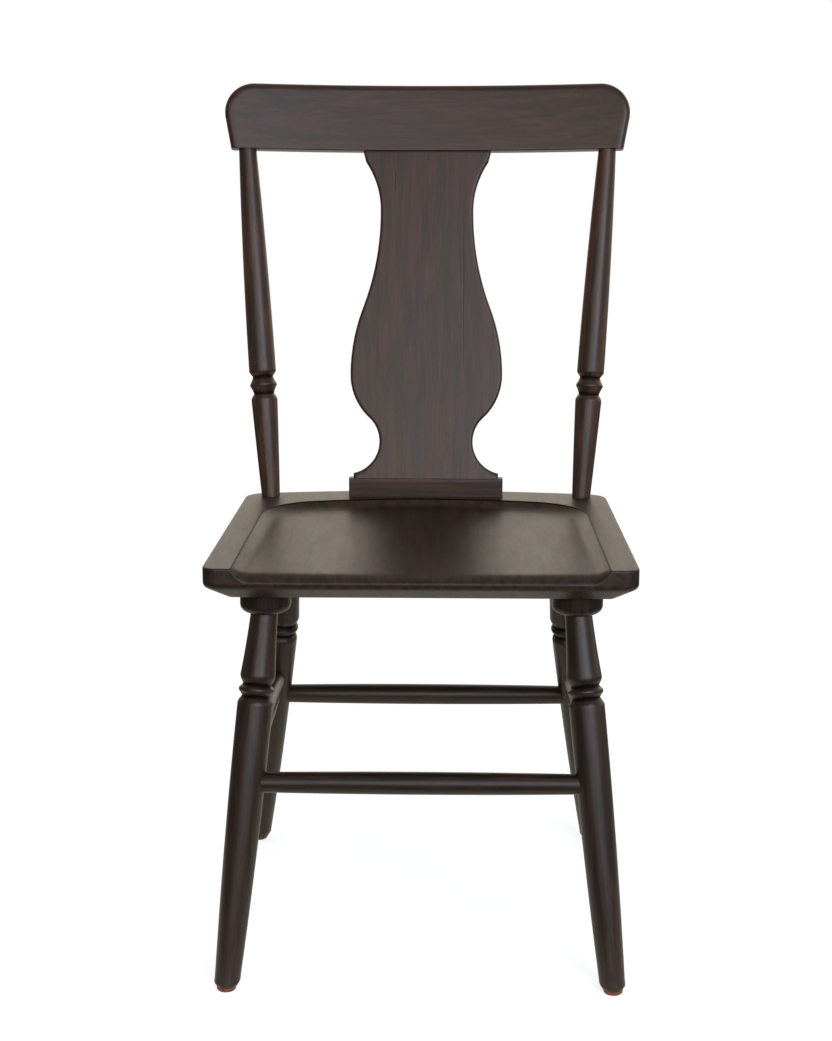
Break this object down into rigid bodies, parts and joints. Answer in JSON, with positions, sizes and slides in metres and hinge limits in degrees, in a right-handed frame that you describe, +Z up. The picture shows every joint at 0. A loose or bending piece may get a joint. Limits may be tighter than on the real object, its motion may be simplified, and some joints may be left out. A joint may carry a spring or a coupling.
{
  "type": "side chair",
  "caption": "Dark stained wooden side chair with an urn-shaped splat, bent crest rail, turned posts, scooped seat, splayed turned legs and stretchers.",
  "frame": {"origin": "on the floor, under the middle of the chair's bounding box", "axes": "+Z up; -Y is the front, where the sitter's legs go; +X to the right when seen from the front"},
  "size_m": [0.4914, 0.5637, 0.9389],
  "materials": {
    "turned_wood": "satin lacquer",
    "board_wood": "satin lacquer",
    "seat_wood": "satin lacquer",
    "glide_plastic": "satin brown",
    "fastener_steel": "plain"
  },
  "bodies": {
    "root": {"seat": "seat_wood", "leg_front_left": "turned_wood", "leg_front_right": "turned_wood", "leg_rear_left": "turned_wood", "leg_rear_right": "turned_wood", "leg_boss_front_left": "turned_wood", "leg_boss_front_right": "turned_wood", "leg_boss_rear_left": "turned_wood", "leg_boss_rear_right": "turned_wood", "front_stretcher": "turned_wood", "rear_stretcher": "turned_wood", "side_stretcher_left": "turned_wood", "side_stretcher_right": "turned_wood", "back_post_left": "turned_wood", "back_post_right": "turned_wood", "crest_rail": "board_wood", "back_splat": "board_wood", "splat_shoe": "board_wood", "foot_glide_front_left": "glide_plastic", "foot_glide_front_right": "glide_plastic", "foot_glide_rear_left": "glide_plastic", "foot_glide_rear_right": "glide_plastic", "glide_nails": "fastener_steel", "crest_brads": "fastener_steel", "shoe_screws": "fastener_steel"}
  },
  "joints": []
}
